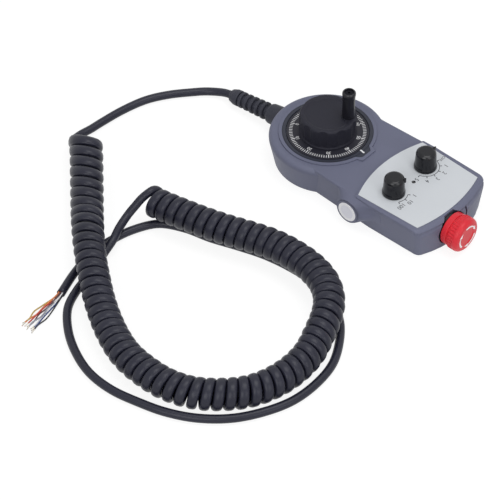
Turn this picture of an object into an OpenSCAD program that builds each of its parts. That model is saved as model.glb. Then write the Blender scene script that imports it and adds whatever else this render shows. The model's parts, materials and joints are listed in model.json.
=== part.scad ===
// Hand-held pulse generator with a graduated handwheel, two selector knobs,
// an emergency stop and a curly cord. It lies on its back: +Z up out of the
// face, +Y towards the emergency stop, origin on the handwheel's axis.

/* [Case] */
// Radius of the round head at the level of the dial deck
head_r = 43.8; // [42:0.2:45]
// Rounding of the head's upper edge
head_round = 5; // [3:0.5:6]
// How much narrower the head's wall is at the back than at the deck
head_draft = 5.2; // [3.5:0.1:5.6]
// Height of the dial deck above the back
case_h = 25; // [24.5:0.5:28]
// Height of the raised control panel above the dial deck
panel_rise = 1.2; // [0.6:0.1:2]
// Half width of the case where the sides leave the head
neck_half_w = 36.2; // [35:0.1:37.4]
// Half width of the case at its widest
body_half_w = 39.2; // [38.6:0.1:40]
// Distance from the dial axis to the widest place
wide_y = 70; // [66:1:78]
// Half width of the case at its end corners
end_half_w = 38.4; // [38:0.1:39.2]
// Distance from the dial axis to the middle of the end wall
end_y = 123; // [122:0.5:126]
// How much narrower each side is at the back than at the deck
side_draft = 3.2; // [2.2:0.1:3.5]
// Radius of the end wall in plan, at the back
end_low_r = 72; // [64:1:80]
// Radius of the end wall in plan, at the deck
end_top_r = 105; // [95:1:120]
// Radius of the corners in plan
corner_r = 5; // [3.5:0.5:6]
// Rounding of the deck's edge
top_round = 1.6; // [1:0.1:2]
// Rounding of the end wall's upper edge
end_round = 5.2; // [4.5:0.1:5.5]
// Rounding of the edge on the back
foot_round = 0.8; // [0.4:0.1:1]
// Thickness of the side walls
wall_t = 2.4; // [2:0.1:2.6]
// Thickness of the dial deck
deck_t = 3; // [2.8:0.1:3.2]
// Height of the back cover's edge
cover_h = 3; // [2.8:0.1:3.4]
// Thickness of the back cover
floor_t = 2; // [1.8:0.1:2.2]

/* [Side boss] */
// Distance of the boss from the dial axis, along the case
boss_y = 56; // [54:0.5:58]
// Height of the boss's centre
boss_z = 12.8; // [12.6:0.1:13.2]
// Radius of the boss's flat face
boss_r = 9.4; // [8.9:0.1:9.6]
// Distance from the centre line to the boss's face
boss_x = 44; // [42:0.5:45]
// Radius of the label on the boss
side_label_r = 7.7; // [7:0.1:8.6]

/* [Panel label] */
// Half width of the label at its dial end
label_half_w = 36.5; // [35:0.1:36.7]
// How much the label's half width shrinks for each millimetre along it
label_taper = 0.042; // [0.034:0.002:0.05]
// Nearest point of the label to the dial axis
label_near_y = 52.1; // [51:0.1:53]
// Radius of the label's edge on the dial side
label_near_r = 93.5; // [85:0.5:105]
// Farthest point of the label from the dial axis
label_far_y = 116.6; // [115.8:0.1:116.8]
// Radius of the label's edge on the emergency stop side
label_far_r = 112; // [100:1:125]
// Thickness of the label
label_t = 0.5; // [0.4:0.1:0.6]
// Depth of the recess that the label lies in
label_sink = 0.4; // [0.2:0.1:0.5]

/* [Dial] */
// Outside radius of the fixed ring round the dial
bezel_r = 33.3; // [32.8:0.1:34]
// Width of the fixed ring
bezel_band = 2.9; // [2.4:0.1:3.2]
// How far the ring stands out of the deck
bezel_h = 1.2; // [0.8:0.1:1.6]
// Depth of the ring's seat in the deck
seat_d = 1; // [0.8:0.1:1.2]
// Distance from the axis to the tip of the pointer tab
tab_reach = 36.6; // [35.8:0.1:37]
// Half width of the pointer tab at its tip
tab_half_w = 4.4; // [3.5:0.1:5]
// Width of the raised lip round the ring
lip_w = 2.6; // [2:0.1:3]
// Height of the raised lip
lip_h = 1; // [0.7:0.1:1.2]
// Gap between the ring and the turning disc
disc_gap = 0.4; // [0.3:0.05:0.5]
// Thickness of the graduated disc
disc_t = 1.2; // [1:0.1:1.4]

/* [Handwheel] */
// Radius of the handwheel over its lobes
wheel_r = 21; // [20:0.25:22]
// Height of the handwheel
wheel_h = 17.5; // [16:0.5:18]
// Number of finger scallops
scallops = 10; // [8:1:12]
// Depth of the scallops
scallop_d = 1.1; // [0.6:0.1:1.4]
// Depth of the dish in the top
dish_d = 0.8; // [0.4:0.1:1.2]
// Radius of the hub inside the wheel
hub_r = 7; // [6.5:0.1:7.5]

/* [Spinner handle] */
// Distance from the wheel axis to the handle
handle_reach = 14.6; // [13.5:0.1:15]
// Direction of the handle at rest, in degrees
handle_dir = 121; // [100:1:140]
// Length of the turning grip
grip_h = 23; // [20:0.5:25]
// Radius of the grip at its foot
grip_r = 4.7; // [4.4:0.1:5]
// Radius of the grip's flared top
grip_top_r = 5; // [4.8:0.1:5.4]
// Radius of the screw's shoulder inside the grip
shoulder_r = 2; // [1.6:0.1:2.2]
// Radial running clearance of the turning parts
run_gap = 0.05; // [0.03:0.01:0.08]

/* [Encoder] */
// Radius of the encoder shaft
shaft_r = 3; // [2.9:0.05:3.1]
// Radius of the encoder's housing
can_r = 22; // [21.5:0.1:22.5]
// Height of the housing's lower edge
can_z = 6; // [5.5:0.25:6.5]
// Radius of the ball bearings
bearing_r = 5; // [4.8:0.1:5.2]
// Width of a ball bearing
bearing_w = 3; // [2.6:0.1:3]
// Radius of the code disc
code_r = 17.5; // [16.5:0.1:17.7]
// Number of windows in the code disc
code_windows = 50; // [25:1:50]
// Radius of the toothed detent wheel over its teeth
detent_r = 9.2; // [8.8:0.1:9.4]
// Number of detent teeth, one for each click
detent_teeth = 100; // [50:10:100]

/* [Selector switches] */
// Distance from the centre line to each switch
switch_x = 17.8; // [17.4:0.1:18.4]
// Distance from the dial axis to the switches
switch_y = 76.6; // [75:0.1:77.5]
// Radius of a switch's body
switch_r = 8; // [7.5:0.1:8.3]
// Radius of a selector shaft
stem_r = 2; // [1.8:0.1:2.1]
// Radius of the threaded bush round the shaft
bush_r = 3.5; // [3.3:0.1:3.7]
// Radius of a knob's foot
knob_foot_r = 8.4; // [8:0.1:8.8]
// Radius of a knob at the top
knob_top_r = 7.4; // [7:0.1:7.6]
// Height of a knob
knob_h = 15.2; // [14:0.1:16]
// Direction of the axis knob at rest, in degrees
axis_dir = 165; // [150:15:165]
// Direction of the multiplier knob at rest, in degrees
multiplier_dir = 120; // [105:15:120]

/* [Circuit board] */
// Height of the board's lower face
board_z = 8.5; // [8:0.25:9]
// Thickness of the board
board_t = 1.5; // [1.2:0.1:1.6]
// Half width of the board
board_half_w = 31; // [29.5:0.5:31.5]
// Edge of the board towards the dial
board_near_y = 48; // [47:0.5:49]
// Edge of the board towards the emergency stop
board_far_y = 88; // [87.5:0.25:88.5]
// Radius of the lamp between the knobs
lamp_r = 1.5; // [1.3:0.1:1.7]
// Distance from the dial axis to the lamp
lamp_y = 80.4; // [78:0.1:82]

/* [Emergency stop] */
// Offset of the emergency stop from the centre line
stop_x = 7.5; // [5:0.5:8]
// Height of its axis
stop_z = 14; // [13.9:0.1:14.3]
// Radius of the mushroom head over its front tier
stop_r = 13.5; // [13:0.1:13.7]
// Radius of its rear tier
stop_rear_r = 12.3; // [12:0.1:12.6]
// Length of the mushroom head
stop_h = 15; // [14:0.5:16]
// Depth of the seat that it stands in, below the end wall
stop_sink = 5; // [4.4:0.1:5.2]
// Distance that the head is pushed in
stop_travel = 3; // [2.6:0.1:3.2]
// Radius of the threaded barrel
barrel_r = 8; // [7.6:0.1:8]
// Length of the contact block
block_len = 14; // [12:0.5:14.5]

/* [Cord] */
// Diameter of the cable
cable_d = 6.2; // [5.8:0.1:6.2]
// Outside diameter of the curly part
coil_d = 22.6; // [20:0.1:22.6]
// Length of the ribbed boot
boot_len = 52.5; // [50:0.5:54]
// Angle at which the boot leans down towards the surface, in degrees
boot_droop = 5.9; // [5.5:0.1:6]
// Angle at which it leans towards the side with the boss, in degrees
boot_lean = 2; // [0:0.5:3]
// Height of the boot's axis at the case
boot_z = 11.9; // [11.8:0.1:12.2]

/* [Hidden] */
$fn = 64;

thin = 0.01;
far = 200;
panel_h = case_h + panel_rise;
label_top = panel_h - label_sink + label_t;
under_deck = case_h - deck_t;
seat_z = case_h - seat_d;
bezel_top = case_h + bezel_h;

// ---- Outer form of the case, shared by the shells, the gasket and the cavity

// Change of the half width at height z that the draft gives
function flare(z) = side_draft * (z / case_h - 1);
function head_flare(z) = head_draft * (z / case_h - 1);
// How far a rounding of radius r pulls the outline in, t below the top
function pull(r, t) = t >= r ? 0 : r - sqrt(r * r - (r - t) * (r - t));
// Radius of the end wall at height z
function end_r(z) = end_low_r + (end_top_r - end_low_r) * z / case_h;

// Outline of the long part of the case: half widths at the neck, at the widest
// place and at the end corners, and the end wall's place and radius
function body_pts(neck, wide, corner_w, tip, r) =
    let (mid = tip - r,
         cx = corner_w - corner_r,
         cy = mid + sqrt(pow(r - corner_r, 2) - cx * cx),
         turn = atan2(cy - mid, cx),
         corner = [for (i = [0:3]) let (a = turn * i / 3)
             [cx + corner_r * cos(a), cy + corner_r * sin(a)]],
         tip_arc = [for (i = [1:3]) let (a = turn + (90 - turn) * i / 4)
             [r * cos(a), mid + r * sin(a)]],
         right = concat([[neck, 0], [wide, wide_y]], corner, tip_arc))
    concat(right, [[0, tip]], [for (i = [len(right) - 1:-1:0]) [-right[i][0], right[i][1]]]);

// Heights at which the form is sliced
function levels(low, top) = [low, low + foot_round, top - end_round, top - end_round * 0.6,
    top - top_round, top - top_round * 0.5, top - top_round * 0.15, top];

function foot(z, low) = max(0, foot_round - (z - low));
function side_in(z, low, top) = pull(top_round, top - z) + foot(z, low);
function end_in(z, low, top) = pull(end_round, top - z) + foot(z, low);

// Heights at which the head's softer edge is sliced
function head_levels(low, top) = [low, low + foot_round,
    for (t = [1, 0.8, 0.6, 0.42, 0.26, 0.13, 0.04, 0]) top - head_round * t];

module head_form(low, top, inset) {
    rotate_extrude($fn = 96)
        polygon(concat([[0, low]],
            [for (z = head_levels(low, top))
                [head_r + head_flare(z) - pull(head_round, top - z) - foot(z, low) - inset, z]],
            [[0, top]]));
}

module body_form(low, top, inset) {
    hull()
        for (z = levels(low, top))
            translate([0, 0, z == top ? top - thin : z])
                linear_extrude(thin)
                    polygon(body_pts(neck_half_w + flare(z) - side_in(z, low, top) - inset,
                        body_half_w + flare(z) - side_in(z, low, top) - inset,
                        end_half_w + flare(z) - side_in(z, low, top) - inset,
                        end_y - end_in(z, low, top) - inset,
                        end_r(z) - inset));
}

// Flat outline of the case at height z, pulled in by inset
module plan(z, inset) {
    circle(r = head_r + head_flare(z) - inset, $fn = 96);
    polygon(body_pts(neck_half_w + flare(z) - inset, body_half_w + flare(z) - inset,
        end_half_w + flare(z) - inset, end_y - inset, end_r(z) - inset));
}

// Everything inside the label's two arcs and two straight sides
module label_plan(grow) {
    side = [for (y = [30, 130]) label_half_w + grow - label_taper * (y - label_near_y)];
    intersection() {
        translate([0, label_near_y + label_near_r])
            circle(r = label_near_r + grow, $fn = 180);
        translate([0, label_far_y - label_far_r])
            circle(r = label_far_r + grow, $fn = 180);
        polygon([[side[0], 30], [side[1], 130], [-side[1], 130], [-side[0], 30]]);
    }
}

module at(points) {
    for (p = points)
        translate(p)
            children();
}

// A cylinder between two radii, standing on z
module post(r, low, top) {
    translate([0, 0, low])
        cylinder(r = r, h = top - low);
}

// ---- Screw places

case_screw_reach = 31.2;
screw_at = [[case_screw_reach * cos(45), -case_screw_reach * sin(45), 0],
    [-case_screw_reach * cos(45), -case_screw_reach * sin(45), 0],
    [neck_half_w - 5.2, 27, 0], [5.2 - neck_half_w, 27, 0],
    [body_half_w - 9.2, end_y - 16, 0], [9.2 - body_half_w, end_y - 16, 0]];
screw_r = 1.4;
screw_column_r = 3.2;
screw_head_r = 2.8;
screw_head_h = 1.2;
screw_len = 14;
screw_sink = 1.4;

board_screw_at = [for (x = [-1, 1], y = [board_near_y + 4, board_far_y - 4])
    [x * (board_half_w - 4), y, 0]];
board_screw_r = 1.2;
board_column_r = 2.8;
board_top = board_z + board_t;

ear_reach = 25.5;
ear_at = [for (a = [90, 210, 330]) [ear_reach * cos(a), ear_reach * sin(a), 0]];
ear_r = 3.4;
ear_screw_r = 1.2;

// ---- The boot's own axis: local +Z runs out of the case along the cable

port_y = head_r + head_flare(boot_z) - 1.2;
boot_neck_r = 6;
boot_foot_r = 8.4;
port_pad_t = 4;
boot_flange_t = 2;
cable_r = cable_d / 2;
module on_port() {
    translate([0, -port_y, boot_z])
        rotate([90 + boot_droop, 0, boot_lean])
            children();
}
// The place d millimetres out along that axis
function port_place(d) = [d * cos(boot_droop) * sin(boot_lean),
    -port_y - d * cos(boot_droop) * cos(boot_lean), boot_z - d * sin(boot_droop)];

// ---- The emergency stop's own axis: local +Z runs out of the end wall

stop_seat_y = end_y - stop_sink;
stop_pad_t = 3.2;
head_rest = stop_travel;
module on_stop() {
    translate([stop_x, stop_seat_y, stop_z])
        rotate([-90, 0, 0])
            children();
}

clamp_half_x = 10;
clamp_half_y = 2;
clamp_gap = 1.6;
clamp_y = -(port_y - port_pad_t - boot_flange_t - clamp_gap - clamp_half_y);
core_in = port_pad_t + boot_flange_t + clamp_gap + clamp_half_y * 2 + 0.4;
clamp_low = 8.6;
clamp_top = 18;
clamp_screw_at = [for (x = [-1, 1]) [x * 7, clamp_y, 0]];
clamp_screw_r = 1.2;

// ---- Case

module bezel_plan(grow) {
    circle(r = bezel_r + grow, $fn = 120);
    // Pointer tab, with hollow fillets where it leaves the ring
    difference() {
        polygon([[-tab_half_w - grow, tab_reach + grow], [tab_half_w + grow, tab_reach + grow],
            [tab_half_w + 5.5, bezel_r - 2], [-tab_half_w - 5.5, bezel_r - 2]]);
        for (s = [-1, 1])
            translate([s * (tab_half_w + 6.3), bezel_r + 2.9])
                circle(r = 4.6 - grow, $fn = 48);
    }
}

module top_case() {
    color([0.41, 0.42, 0.49])
    difference() {
        union() {
            difference() {
                union() {
                    head_form(0, case_h, 0);
                    body_form(0, case_h, 0);
                    // Raised control panel, with a curved front step
                    intersection() {
                        body_form(0, panel_h, 0);
                        translate([0, label_near_y + label_near_r, case_h - 1])
                            cylinder(r = label_near_r + 1.3, h = panel_rise + 2, $fn = 180);
                    }
                    // Raised lip that follows the ring and its tab
                    translate([0, 0, case_h - 1])
                        linear_extrude(lip_h + 1)
                            bezel_plan(lip_w);
                    // Side boss
                    translate([0, boss_y, boss_z])
                        rotate([0, 90, 0])
                            cylinder(r = boss_r, h = boss_x);
                }
                head_form(cover_h - 1, under_deck, wall_t);
                body_form(cover_h - 1, under_deck, wall_t);
                // Room for the emergency stop's nut and block under the panel
                translate([stop_x - 12, stop_seat_y - stop_pad_t - 34, cover_h])
                    cube([24, 34, panel_h - cover_h - 1.4]);
            }
            case_inside();
        }
        translate([-far / 2, -far / 2, cover_h - far])
            cube([far, far * 1.5, far]);
        // Seat of the ring and the hole for the encoder's neck
        translate([0, 0, seat_z])
            linear_extrude(far)
                bezel_plan(0.05);
        post(neck_hole_r, 0, far);
        // Label recess, knob bushes and lamp
        translate([0, 0, panel_h - label_sink])
            linear_extrude(far)
                label_plan(0.1);
        at([[-switch_x, switch_y, 0], [switch_x, switch_y, 0]])
            post(bush_r, 0, far);
        translate([0, lamp_y, 0])
            post(lamp_r, 0, far);
        stop_cut();
        // A narrow slot in the end wall beside the button
        translate([-8.5, end_y - 2, 13.5])
            cube([1.6, 4, 10]);
        on_port() {
            cylinder(r = boot_foot_r + 0.05, h = 12);
            translate([0, 0, -port_pad_t - 1])
                cylinder(r = boot_neck_r, h = port_pad_t + 2);
        }
        at(screw_at)
            post(screw_r, 0, screw_sink + screw_len);
        at(board_screw_at)
            post(board_screw_r, 0, board_top + 7);
        at(ear_at)
            post(ear_screw_r, 0, case_h - 1.5);
        at(clamp_screw_at)
            post(clamp_screw_r, 0, under_deck);
    }
}

// Columns and pads that grow out of the deck's underside
module case_inside() {
    at(screw_at)
        post(screw_column_r, cover_h, under_deck + 1);
    at(board_screw_at)
        post(board_column_r, board_top, under_deck + 1);
    at(clamp_screw_at)
        post(2.6, clamp_top, under_deck + 1);
    intersection() {
        union() {
            translate([stop_x - 15.5, stop_seat_y - stop_pad_t, 0])
                cube([31, stop_pad_t + 3, under_deck + 1]);
            on_port()
                translate([0, 0, -port_pad_t])
                    cylinder(r = 11, h = port_pad_t + 2);
        }
        union() {
            head_form(0, case_h, 1);
            body_form(0, case_h, 1);
        }
    }
}

module stop_cut() {
    on_stop() {
        cylinder(r = stop_rear_r + 0.7, h = far / 4);
        translate([0, 0, -stop_pad_t - 1])
            cylinder(r = barrel_r, h = stop_pad_t + 2);
    }
}

module back_cover() {
    lip_in = wall_t + 0.1;
    color([0.38, 0.39, 0.46])
    difference() {
        union() {
            intersection() {
                union() {
                    head_form(0, case_h, 0);
                    body_form(0, case_h, 0);
                }
                translate([-far / 2, -far / 2, 0])
                    cube([far, far * 1.5, cover_h]);
            }
            // Locating rim just inside the wall
            translate([0, 0, cover_h - thin])
                linear_extrude(1.6)
                    difference() {
                        plan(cover_h, lip_in);
                        plan(cover_h, lip_in + 1.2);
                        translate([-14, end_y - 20])
                            square([44, 20]);
                        translate([-12, -head_r])
                            square([24, 12]);
                    }
        }
        // Hollow over the floor, round the screw pads
        difference() {
            translate([0, 0, floor_t])
                linear_extrude(far)
                    plan(cover_h, lip_in + 1.2);
            at(screw_at)
                post(screw_column_r + 0.6, 0, cover_h);
        }
        // Groove for the gasket
        translate([0, 0, cover_h - gasket_t])
            linear_extrude(gasket_t + thin)
                gasket_plan();
        at(screw_at) {
            post(screw_r + 0.2, -1, far);
            post(screw_head_r + 0.2, -1, screw_sink);
            post(screw_column_r + 0.1, cover_h, far);
        }
        stop_cut();
    }
}

gasket_t = 0.6;
module gasket_plan() {
    difference() {
        plan(cover_h, 0.7);
        plan(cover_h, 1.9);
        translate([stop_x - stop_r - 1, end_y - 3.4])
            square([stop_r * 2 + 2, 8]);
    }
}

module case_gasket() {
    color([0.12, 0.12, 0.13])
    translate([0, 0, cover_h - gasket_t])
        linear_extrude(gasket_t)
            gasket_plan();
}

// A cap screw that points up, its head's underside at z
module screw_up(r, len, head, head_t, z) {
    difference() {
        union() {
            post(r, z, z + len);
            post(head, z - head_t, z);
        }
        post(r * 0.7, z - head_t - 1, z - head_t * 0.4, $fn = 6);
    }
}

module case_screws() {
    color([0.62, 0.63, 0.65])
    at(screw_at)
        screw_up(screw_r, screw_len, screw_head_r, screw_head_h, screw_sink);
}

module panel_label() {
    color([0.80, 0.82, 0.83])
    translate([0, 0, panel_h - label_sink])
        linear_extrude(label_t)
            difference() {
                label_plan(0);
                for (x = [-switch_x, switch_x])
                    translate([x, switch_y])
                        circle(r = bush_r);
                translate([0, lamp_y])
                    circle(r = lamp_r);
            }
}

module side_label() {
    color([0.86, 0.86, 0.88])
    translate([boss_x, boss_y, boss_z])
        rotate([0, 90, 0])
            cylinder(r = side_label_r, h = 0.25);
}

// ---- Dial

disc_r = bezel_r - bezel_band - disc_gap;
disc_top = bezel_top - 0.4;
neck_hole_r = 7;

module dial_bezel() {
    chamfer = 0.4;
    color([0.16, 0.16, 0.19])
    difference() {
        union() {
            translate([0, 0, seat_z])
                linear_extrude(seat_d + bezel_h - chamfer)
                    bezel_plan(0);
            // The ring's own bevel stands a little above the tab
            translate([0, 0, seat_z])
                cylinder(r = bezel_r - chamfer, h = seat_d + bezel_h);
        }
        post(bezel_r - bezel_band, 0, far, $fn = 120);
        translate([0, 0, bezel_top - chamfer])
            cylinder(r1 = bezel_r - bezel_band, r2 = bezel_r - bezel_band + chamfer * 2,
                h = chamfer * 2, $fn = 120);
    }
}

module dial_disc() {
    color([0.13, 0.13, 0.15])
    difference() {
        post(disc_r, disc_top - disc_t, disc_top, $fn = 120);
        post(shaft_r, 0, far);
    }
}

// ---- Handwheel

wheel_low = disc_top;
wheel_top = wheel_low + wheel_h;
set_screw_z = wheel_low + 5;
set_screw_r = 1.5;
handle_pos = [handle_reach * cos(handle_dir), handle_reach * sin(handle_dir), 0];
pad_z = wheel_top;
axle_thread_r = 1.5;
axle_depth = 7;

// Side view of the wheel before the scallops: foot flange, waist and crowned rim
function wheel_side() = [[0, wheel_low], [wheel_r, wheel_low], [wheel_r, wheel_low + 1.4],
    [wheel_r - 0.5, wheel_low + 2.2], [wheel_r, wheel_top - 3],
    for (i = [1:4]) [wheel_r - 2 + 2 * cos(i * 22.5), wheel_top - 2 + 2 * sin(i * 22.5)],
    [wheel_r - 3.4, wheel_top], [wheel_r - 5, wheel_top - dish_d], [0, wheel_top - dish_d]];

module handwheel_knob() {
    scallop_r = 7;
    color([0.20, 0.20, 0.24])
    difference() {
        union() {
            difference() {
                rotate_extrude($fn = 96)
                    polygon(wheel_side());
                // Scallops run down to the foot flange
                for (i = [0:scallops - 1])
                    rotate(handle_dir + (i + 0.5) * 360 / scallops)
                        translate([wheel_r + scallop_r - scallop_d, 0, wheel_low + 2.6])
                            cylinder(r = scallop_r, h = far);
                // Hollow underneath, round the hub
                difference() {
                    post(wheel_r - 3.4, 0, wheel_top - 5);
                    post(hub_r, 0, far);
                    translate(handle_pos)
                        post(4.4, 0, far);
                }
            }
            // Flat pad that the spinner handle stands on
            translate(handle_pos)
                post(grip_r + 0.6, wheel_top - 5.5, pad_z);
        }
        post(shaft_r, 0, shaft_top);
        translate(handle_pos)
            post(axle_thread_r, pad_z - axle_depth, far);
        set_screw_bores();
    }
}

module set_screw_bores() {
    for (a = [90, 180])
        rotate(handle_dir + a)
            translate([shaft_r - 0.5, 0, set_screw_z])
                rotate([0, 90, 0])
                    cylinder(r = set_screw_r, h = far);
}

module wheel_set_screws() {
    color([0.35, 0.35, 0.36])
    for (a = [90, 180])
        rotate(handle_dir + a)
            translate([shaft_r, 0, set_screw_z])
                rotate([0, 90, 0])
                    difference() {
                        cylinder(r = set_screw_r, h = hub_r - shaft_r);
                        translate([0, 0, hub_r - shaft_r - 1.5])
                            cylinder(r = 0.8, h = 2, $fn = 6);
                    }
}

grip_low = pad_z + 0.1;
grip_top = grip_low + grip_h;
axle_head_z = grip_top - 2.2;

module handle_grip() {
    color([0.13, 0.13, 0.15])
    translate(handle_pos)
        rotate_extrude($fn = 48)
            polygon([[shoulder_r + run_gap, grip_low], [grip_r - 0.4, grip_low],
                [grip_r, grip_low + 0.5], [grip_r - 0.15, grip_top - 9],
                [grip_r, grip_top - 4], [grip_top_r, grip_top - 2],
                [grip_top_r - 0.1, grip_top - 0.8], [grip_top_r - 0.5, grip_top - 0.2],
                [grip_top_r - 1.1, grip_top], [shoulder_r + 1.5, grip_top],
                [shoulder_r + 1.3, axle_head_z - 0.2], [shoulder_r + run_gap, axle_head_z - 0.2]]);
}

module handle_axle() {
    color([0.30, 0.30, 0.32])
    translate(handle_pos)
        difference() {
            union() {
                post(axle_thread_r, pad_z - axle_depth, pad_z);
                post(shoulder_r, pad_z, axle_head_z);
                post(shoulder_r + 1.1, axle_head_z, axle_head_z + 1.4);
            }
            post(1, axle_head_z + 0.5, far, $fn = 6);
        }
}

// ---- Encoder

top_plate_t = 2.5;
can_top = under_deck;
boss_low = 16.6;
can_neck_top = seat_z + 0.2;
can_wall = 1.5;
encoder_board_z = can_z + 0.8;
encoder_board_t = 1.6;
encoder_board_top = encoder_board_z + encoder_board_t;
lower_bearing_z = boss_low + 0.6;
upper_bearing_z = can_neck_top - bearing_w;
shaft_low = 9.4;
shaft_top = wheel_top - 3;
code_z = 10.8;
detent_z = 12.6;
detent_t = 2.6;

module encoder_housing() {
    color([0.30, 0.31, 0.33])
    difference() {
        union() {
            post(can_r, can_z, can_top);
            post(neck_hole_r, can_top - 1, can_neck_top);
            for (p = ear_at)
                hull() {
                    translate(p)
                        post(ear_r, can_top - 3, can_top, $fn = 32);
                    post(ear_r, can_top - 3, can_top, $fn = 32);
                }
        }
        difference() {
            post(can_r - can_wall - 1, 0, can_top - top_plate_t);
            post(neck_hole_r, boss_low, far);
        }
        post(can_r - can_wall, 0, encoder_board_top);
        post(bearing_r, lower_bearing_z, far);
        post(shaft_r + 1.2, 0, far);
        at(ear_at)
            post(ear_screw_r, 0, far);
    }
}

module encoder_screws() {
    color([0.62, 0.63, 0.65])
    at(ear_at)
        screw_up(ear_screw_r, 4.4, 2.2, 1.4, can_top - 3);
}

module encoder_shaft() {
    color([0.70, 0.71, 0.73])
    difference() {
        union() {
            post(shaft_r, shaft_low, shaft_top);
            // Collar under the lower bearing, and the disc's hub
            post(shaft_r + 0.7, detent_z + detent_t, lower_bearing_z - 0.1);
        }
        // Flats for the set screws are left off; a centre mark in the lower end
        translate([0, 0, shaft_low - thin])
            cylinder(r1 = 0.8, r2 = 0, h = 0.8, $fn = 32);
    }
}

module encoder_bearings() {
    groove = 0.35;
    color([0.72, 0.73, 0.75])
    for (z = [lower_bearing_z, upper_bearing_z])
        rotate_extrude()
            polygon([[shaft_r + run_gap, z], [shaft_r + 0.7, z], [shaft_r + 0.7, z + groove],
                [bearing_r - 0.6, z + groove], [bearing_r - 0.6, z], [bearing_r, z],
                [bearing_r, z + bearing_w], [bearing_r - 0.6, z + bearing_w],
                [bearing_r - 0.6, z + bearing_w - groove], [shaft_r + 0.7, z + bearing_w - groove],
                [shaft_r + 0.7, z + bearing_w], [shaft_r + run_gap, z + bearing_w]]);
}

module code_disc() {
    color([0.75, 0.76, 0.78])
    difference() {
        union() {
            post(code_r, code_z, code_z + 0.5);
            post(shaft_r + 2, code_z + 0.5, detent_z);
        }
        post(shaft_r, 0, far);
        for (i = [0:code_windows - 1])
            rotate(i * 360 / code_windows)
                translate([code_r - 3, -0.5, 0])
                    cube([2, 1, far]);
    }
}

module encoder_board() {
    color([0.10, 0.35, 0.20])
    post(can_r - can_wall, encoder_board_z, encoder_board_top);
}

module optical_sensor() {
    color([0.10, 0.10, 0.11])
    translate([0, -3.5, encoder_board_top])
        difference() {
            translate([12.9, 0, 0])
                cube([6, 7, 5.2]);
            translate([0, -1, code_z - encoder_board_top - 0.6])
                cube([code_r + 0.6, 9, 1.7]);
        }
}

module detent_wheel() {
    tooth = 0.45;
    color([0.60, 0.61, 0.63])
    translate([0, 0, detent_z])
        linear_extrude(detent_t)
            difference() {
                polygon([for (i = [0:detent_teeth * 2 - 1])
                    let (r = i % 2 == 0 ? detent_r : detent_r - tooth, a = i * 180 / detent_teeth)
                    [r * cos(a), r * sin(a)]]);
                circle(r = shaft_r);
            }
}

module detent_magnets() {
    gap = 0.4;
    color([0.45, 0.46, 0.48])
    for (a = [90, 270])
        rotate(a)
            translate([detent_r + gap, -3, detent_z - 0.2])
                cube([5.6, 6, can_top - top_plate_t - detent_z + 0.2]);
}

// ---- Selector switches and knobs

bush_top = label_top + 2.6;
nut_t = 1.8;
knob_low = label_top + 0.3;
stem_top = knob_low + 10;

module switch_body() {
    color([0.15, 0.25, 0.45])
    difference() {
        union() {
            post(switch_r, board_top, under_deck);
            post(bush_r, under_deck - 1, bush_top);
            // Soldered pins through the board
            for (i = [0:5])
                rotate(i * 60 + 30)
                    translate([switch_r - 2.2, 0, 0])
                        post(0.5, board_z - 1, board_top + 1);
        }
        post(stem_r + run_gap, board_top + 2, far);
    }
}

module switch_shaft(dir) {
    color([0.72, 0.73, 0.75])
    difference() {
        post(stem_r, board_top + 2.1, stem_top);
        stem_flat(dir);
    }
}

// What is cut away beside the shaft's flat
module stem_flat(dir) {
    rotate(dir + knob_screw_side)
        translate([stem_r - 0.8, -far / 2, bush_top + 0.4])
            cube(far);
}

module switch_nut() {
    color([0.70, 0.71, 0.73])
    difference() {
        post(5.4, label_top, label_top + nut_t, $fn = 6);
        post(bush_r, 0, far);
    }
}

// Glossy knob with a small pointer nib, its shaft hole flattened like the shaft
module selector_knob(dir) {
    top = knob_low + knob_h;
    color([0.14, 0.14, 0.16])
    difference() {
        union() {
            rotate_extrude()
                polygon([[0, knob_low], [knob_foot_r - 0.2, knob_low],
                    [knob_foot_r, knob_low + 0.3], [knob_foot_r - 0.1, knob_low + 2.2],
                    [knob_foot_r - 0.5, knob_low + 3.4], [knob_top_r, top - 2.8],
                    [knob_top_r - 0.3, top - 1.6], [knob_top_r - 1, top - 0.7],
                    [knob_top_r - 2, top - 0.15], [knob_top_r - 2.8, top], [0, top]]);
            // Pointer nib on the shoulder
            rotate(dir)
                translate([0, 0, top - 3.8])
                    linear_extrude(3.6)
                        polygon([[knob_top_r - 3, -0.7], [knob_top_r, -0.7],
                            [knob_top_r + 1, -0.35], [knob_top_r + 1, 0.35],
                            [knob_top_r, 0.7], [knob_top_r - 3, 0.7]]);
        }
        // Skirt recess over the nut
        post(6.4, 0, bush_top + 0.4);
        difference() {
            post(stem_r, 0, stem_top);
            stem_flat(dir);
        }
        rotate(dir + knob_screw_side)
            knob_screw_bore();
    }
}

knob_screw_z = bush_top + 3.6;
knob_screw_side = 90;
module knob_screw_bore() {
    translate([stem_r - 0.8, 0, knob_screw_z])
        rotate([0, 90, 0])
            cylinder(r = 1.1, h = far);
}

module knob_screw(dir) {
    color([0.35, 0.35, 0.36])
    rotate(dir + knob_screw_side)
        translate([stem_r - 0.8, 0, knob_screw_z])
            rotate([0, 90, 0])
                difference() {
                    cylinder(r = 1.1, h = 4.2);
                    translate([0, 0, 3])
                        cylinder(r = 0.6, h = 2, $fn = 6);
                }
}

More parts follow.
